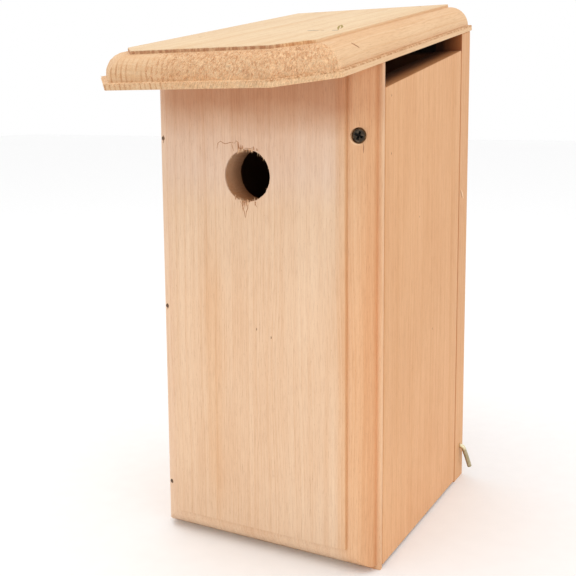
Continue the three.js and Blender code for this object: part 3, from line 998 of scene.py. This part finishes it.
def board_marks():
    """A crack at the pivot screw, torn nail holes, pin knots, and a splinter on the back's edge with its
    painted shadow.
    """
    add_marks("screw_crack", TORN_CRACK, on_strip, [(0.5, SCREW_CRACK), (0.2, CRACK_ABOVE_SCREW)])
    tears = [(1.5, dash(-PIVOT.x, z, above, below, 0.15)) for z, above, below in NAIL_TEARS]
    add_marks("nail_tears", PIN_KNOT, on_strip, tears)
    knots = [(0.75, dash(x, z, 0.8, 0.8)) for x, z in FRONT_KNOTS]
    add_marks("front_pin_knots", PIN_KNOT, on_front, knots)
    specks = [(0.6, dash(y, z, 0.7, 0.7)) for y, z in DOOR_KNOTS]
    add_marks("door_pin_knots", PIN_KNOT, on_right_side, specks, "door", "door_wood")
    # A dark ribbon beside the splinter is its painted shadow.
    add_marks("back_edge_splinter_shadow", TORN_CRACK, on_right_side, [(1.9, BACK_EDGE_SPLINTER_SHADOW)])
    add_marks("back_edge_splinter", TORN_FIBRE, on_right_side, [(2.3, BACK_EDGE_SPLINTER)])


def top_marks():
    """The roof's pitch mark, smears and scratch."""
    streaks = [(1.5, line) for line in PITCH_STREAKS]
    add_marks("roof_pitch_mark", PITCH_MARK, on_roof, streaks, slot="roof_wood")
    add_marks("roof_smear", SMEAR, on_roof, [(4, line) for line in SMEARS], slot="roof_wood")
    add_marks("roof_scratch", TORN_CRACK, on_roof_round, [(1.4, ROOF_SCRATCH)], slot="roof_wood")


FUZZ_COUNT = 2600
EDGE_FUZZ_COUNT = 520
FUZZ_FROM = -26  # the roof's front edge has few lifted fibres left of this


def roof_front_point(t, inset):
    """Point of the roof's plan on its clipped front, drawn in by inset; t runs from -1 to 1."""
    corners = board_corners(ROOF_WIDTH, ROOF_LENGTH, ROOF_CLIP, inset)[1:-1]
    corners = [Vector((x, y, 0)) for x, y in reversed(corners)]
    travel = (t + 1) / 2 * sum((b - a).length for a, b in zip(corners, corners[1:]))
    for a, b in zip(corners, corners[1:]):
        length = (b - a).length
        if travel <= length:
            break
        travel -= length
    way = (b - a).normalized()
    return a + way * min(travel, length), Vector((way.y, -way.x, 0))


def roof_fuzz():
    """Short fibres that the cutter lifted from the end grain of the roof's front edge, some drawn in painted
    shade.
    """
    random.seed(5)
    pale = bmesh.new()
    shaded = bmesh.new()
    for i in range(FUZZ_COUNT):
        t = random.uniform(-0.3, 1)
        angle = random.uniform(0.08, 1.4)
        foot, out = roof_front_point(t, ROUND_INSET - QUARTER_ROUND * math.cos(angle))
        if random.random() > 0.2 + max(0, (foot.x - FUZZ_FROM) / -FUZZ_FROM):
            continue
        normal = out * math.cos(angle) + Vector((0, 0, math.sin(angle)))
        up = -out * math.sin(angle) + Vector((0, 0, math.cos(angle)))
        along = up.cross(normal)
        way = up * random.uniform(0.5, 1) + along * random.gauss(0.35, 0.3)
        base = foot + Vector((0, 0, EDGE_HEIGHT + QUARTER_ROUND * math.sin(angle)))
        # A third of the fibres take the painted-shade copy of the fibre colour.
        bm = shaded if i % 3 == 0 else pale
        length = random.uniform(0.8, 2.4)
        width = random.uniform(0.25, 0.5)
        sliver(bm, base, way, normal, length, width, random.uniform(0.05, 0.45))
    for _ in range(EDGE_FUZZ_COUNT):
        foot, out = roof_front_point(random.uniform(-1, 1), 0)
        base = foot + Vector((0, 0, EDGE_HEIGHT - abs(random.gauss(0, 0.9))))
        base.z = max(base.z, 0.3)
        way = Vector((random.gauss(0, 0.6), 0, random.choice((-1, 1, 1))))
        # Fibres on the lower half of the edge take the painted-shade copy.
        bm = shaded if base.z < EDGE_HEIGHT / 2 else pale
        length = random.uniform(0.4, 1.2)
        width = random.uniform(0.2, 0.45)
        sliver(bm, base, way, out, length, width, random.uniform(0.05, 0.25))
    for name, bm, material in (("roof_fuzz", pale, TORN_FIBRE), ("roof_fuzz_dark", shaded, TORN_SHADE)):
        bm.transform(roof_matrix())
        attach(new_object(name, bm, material), "house", "roof_wood")


# ---- Screws, nails and the latch hook ----

SCREW_SIDES = 48
NAIL_SIDES = 28
SCREW_TURN = math.radians(23)
SCREW_HEAD = [(0.02, -0.06), (2.6, -0.04), (3.5, 0.02), (3.9, 0.1), (4.08, 0.28), (4.1, 0.42), (3.95, 0.6)]
SCREW_NECK = [(2.1, 2.75), (1.75, 3.3), (1.75, 7)]
SCREW_TIP = [(1.3, 34), (0.5, 37), (0.02, 37.9)]
THREAD_START = 7
THREAD_PITCH = 1.4
THREAD_TURNS = 19
THREAD_ROOT = 1.45
THREAD_CREST = 1.95

# The recess's arms, by depth: half their length and half their width there.
RECESS_ARMS = ((-1, 2.6, 0.72), (0, 2.4, 0.64), (0.7, 1.8, 0.52), (1.5, 0.8, 0.36))
RECESS_CORE = ((1.2, -1), (0.5, 1.9))
RECESS_REACH = 2.9


def screw_profile():
    """Radius and depth, from the rolled head down the ridged shank to the tip."""
    profile = SCREW_HEAD + SCREW_NECK
    for turn in range(THREAD_TURNS):
        z = THREAD_START + THREAD_PITCH * turn
        profile += [(THREAD_ROOT, z + 0.35), (THREAD_CREST, z + 0.8)]
        profile += [(THREAD_CREST, z + 0.95), (THREAD_ROOT, z + THREAD_PITCH)]
    return profile + SCREW_TIP


def recess_arm(matrix):
    """One of the recess's two crossed slots, which taper as they go in."""
    loops = []
    for depth, length, width in RECESS_ARMS:
        ends = [(length, width), (length - 0.1, width * 1.02), (-length, width)]
        ends += [(-length, -width), (length - 0.1, -width * 1.02), (length, -width)]
        loops.append([matrix @ Vector((a, b, depth)) for a, b in ends])
    bm = bmesh.new()
    add_loops(bm, loops)
    return new_object("recess_cutter", bm, RECESS_BLACK)


def recess_core(matrix):
    """The recess's pointed middle."""
    bm = bmesh.new()
    turned(bm, RECESS_CORE, 4, matrix @ Matrix.Rotation(math.pi / 4, 4, "Z"))
    return new_object("core_cutter", bm, RECESS_BLACK)


def pivot_screw(name, node, way):
    """Countersunk cross-recess screw with a rolled rim and a ridged shank."""
    matrix = fastener_matrix(fastener_head(node), way)
    bm = bmesh.new()
    turned(bm, screw_profile(), SCREW_SIDES, matrix)
    screw = new_object(name, bm, BRONZED)
    cross = matrix @ Matrix.Rotation(SCREW_TURN, 4, "Z")
    arms = [recess_arm(cross @ Matrix.Rotation(quarter * math.pi / 2, 4, "Z")) for quarter in (0, 1)]
    carve(screw, [*arms, recess_core(cross)])
    blacken_recess(screw, matrix)
    shade(screw, 35)
    attach(screw, "door", "bronzed_steel", node)


def blacken_recess(screw, matrix):
    """The recess's walls and floor keep their black coating, which is rubbed off the rest."""
    mesh = screw.data
    if len(mesh.materials) < 2:
        mesh.materials.append(RECESS_BLACK)
    inverse = matrix.inverted()
    for polygon in mesh.polygons:
        centre = inverse @ ((polygon.center - HOUSE) / MM)
        inside = math.hypot(centre.x, centre.y) < RECESS_REACH and -0.02 < centre.z < 2
        polygon.material_index = 1 if inside else 0


# Radius and depth, from the head's face to the tip.
NAIL_PROFILE = [
    (0.02, -0.12), (0.7, -0.08), (1.12, 0.02), (1.25, 0.2), (1.22, 0.6), (0.8, 1.0), (0.8, 36), (0.02, 38),
]
BRAD_PROFILE = [
    (0.02, -0.08), (0.6, -0.05), (1.0, 0.02), (1.1, 0.2), (1.05, 0.5), (0.7, 0.9), (0.7, 34), (0.02, 36),
]


def nail(node, way):
    profile = BRAD_PROFILE if "brad" in node else NAIL_PROFILE
    bm = bmesh.new()
    turned(bm, profile, NAIL_SIDES, fastener_matrix(fastener_head(node), way))
    obj = new_object(node + "_detail", bm, NAIL_STEEL)
    shade(obj, 40)
    attach(obj, "house", "nail_steel", node)


HOOK_WIRE = 1.5
HOOK_FROM_REAR = 6.7
HOOK_HEIGHT = 22.4
HOOK_REACH = 2.4
HOOK_BEND = 2.3
HOOK_LEG = 16.6
HOOK_STEM = 15.8
HOOK_GROOVE = 0.18  # the stem is ringed, so that it grips the wood
STEM_RING = 0.4
STEM_POINTS = 37
BEND_POINTS = 12
LEG_POINTS = 15
HOOK_BACK_TURN = math.radians(18)
HOOK_SPLAY = math.radians(12)
HOOK_SIDES = 32


def hook_path():
    """Points of the wire's axis and the wire's radius there, from inside the wood to the leg's end."""
    corner = Vector((HOOK_REACH, 0, 0))
    down = Vector((math.sin(HOOK_SPLAY), 0, -math.cos(HOOK_SPLAY)))
    points = []
    for i in range(STEM_POINTS):
        groove = HOOK_GROOVE if i % 3 == 0 else 0
        points.append((Vector((-HOOK_STEM + STEM_RING * i, 0, 0)), HOOK_WIRE - groove))
    start = corner - Vector((HOOK_BEND, 0, 0))
    end = corner + down * HOOK_BEND
    points.append((start, HOOK_WIRE))
    for i in range(1, BEND_POINTS):
        t = i / BEND_POINTS
        flattened = HOOK_WIRE * (1 - 0.05 * math.sin(math.pi * t))
        points.append((start * (1 - t) ** 2 + corner * (2 * t * (1 - t)) + end * t**2, flattened))
    leg_end = corner + down * (HOOK_LEG - 0.25)
    for i in range(LEG_POINTS):
        t = i / (LEG_POINTS - 1)
        wave = Vector((0.06 * math.sin(5 * t), 0.08 * math.sin(3.4 * t), 0))
        points.append((end.lerp(leg_end, t) + wave * t, HOOK_WIRE))
    tip = points[-1][0]
    points.append((tip + down * 0.12, HOOK_WIRE * 0.96))
    points.append((tip + down * 0.25, HOOK_WIRE * 0.82))
    return points


def latch_hook():
    exit_point = (HALF, REAR - HOOK_FROM_REAR, HOOK_HEIGHT)
    matrix = Matrix.Translation(exit_point) @ Matrix.Rotation(HOOK_BACK_TURN, 4, "X")
    points = hook_path()
    side = Vector((0, 1, 0))
    loops = []
    for i, (centre, radius) in enumerate(points):
        before = points[max(i - 1, 0)][0]
        after = points[min(i + 1, len(points) - 1)][0]
        up = (after - before).cross(side).normalized()
        loops.append([matrix @ (centre + side * x + up * y) for x, y in circle(radius, HOOK_SIDES)])
    bm = bmesh.new()
    add_loops(bm, loops)
    hook = new_object("latch_hook_detail", bm, BRASS)
    shade(hook, 40)
    attach(hook, "latch", "brass_wire", "latch_hook")


# ---- Floor and light, in metres ----

FLOOR_REACH = 6
LIGHT_AIM = Vector((0, 0, 0.16))


def floor_material():
    g = Graph("studio_floor")
    speckle = g.noise(g.coords.outputs["Object"], detail=4, scale=90)
    tone = g.mix(g.range(speckle, 0.3, 0.7), (0.955, 0.955, 0.955), (0.975, 0.975, 0.975))
    return g.finish(tone, 0.85, g.bump(speckle, 0.05, 0.0002), specular=0.1)


def add_studio():
    bm = bmesh.new()
    bmesh.ops.create_grid(bm, x_segments=8, y_segments=8, size=FLOOR_REACH)
    mesh = bpy.data.meshes.new("studio_floor")
    bm.to_mesh(mesh)
    bm.free()
    mesh.materials.append(floor_material())
    studio = bpy.data.objects.new("studio_floor", mesh)
    scene.collection.objects.link(studio)

    world = bpy.data.worlds.new("studio")
    world.use_nodes = True
    background = world.node_tree.nodes["Background"]
    background.inputs["Color"].default_value = (1, 1, 1, 1)
    background.inputs["Strength"].default_value = 1.0
    scene.world = world

    add_softbox("side", spot=(1.5, -0.9, 0.9), size=0.8, power=2.2)
    add_softbox("top", spot=(-0.2, -0.5, 1.7), size=1.2, power=5.0)


def add_softbox(name, spot, size, power):
    data = bpy.data.lights.new(name, "AREA")
    data.shape = "DISK"
    data.size = size
    data.energy = power
    lamp = bpy.data.objects.new(name, data)
    scene.collection.objects.link(lamp)
    lamp.location = spot
    lamp.rotation_euler = (LIGHT_AIM - lamp.location).to_track_quat("-Z", "Y").to_euler()


# ---- Everything, in order ----

scene.view_settings.view_transform = "Standard"
add_camera()

front_board()
roof_board()
eased_board("back_board", "back_panel", BACK_WOOD, "house", "body_wood")
eased_board("left_board", "left_side_panel", LEFT_WOOD, "house", "body_wood")
eased_board("floor_board", "floor_panel", FLOOR_WOOD, "house", "body_wood")
eased_board("door_board", "side_door", DOOR_WOOD, "door", "door_wood")

entrance_tears()
board_marks()
top_marks()
roof_fuzz()

pivot_screw("pivot_screw_front_detail", "pivot_screw_front", (0, 1, 0))
pivot_screw("pivot_screw_back_detail", "pivot_screw_back", (0, -1, 0))
for index in (1, 2, 3):
    nail(f"side_nail_front_{index}", (0, 1, 0))
    nail(f"side_nail_back_{index}", (0, -1, 0))
for index in (1, 2):
    nail(f"floor_nail_left_{index}", (1, 0, 0))
    nail(f"floor_nail_back_{index}", (0, -1, 0))
    nail(f"roof_brad_front_{index}", (0, 0, -1))
    nail(f"roof_brad_back_{index}", (0, 0, -1))
latch_hook()
add_studio()
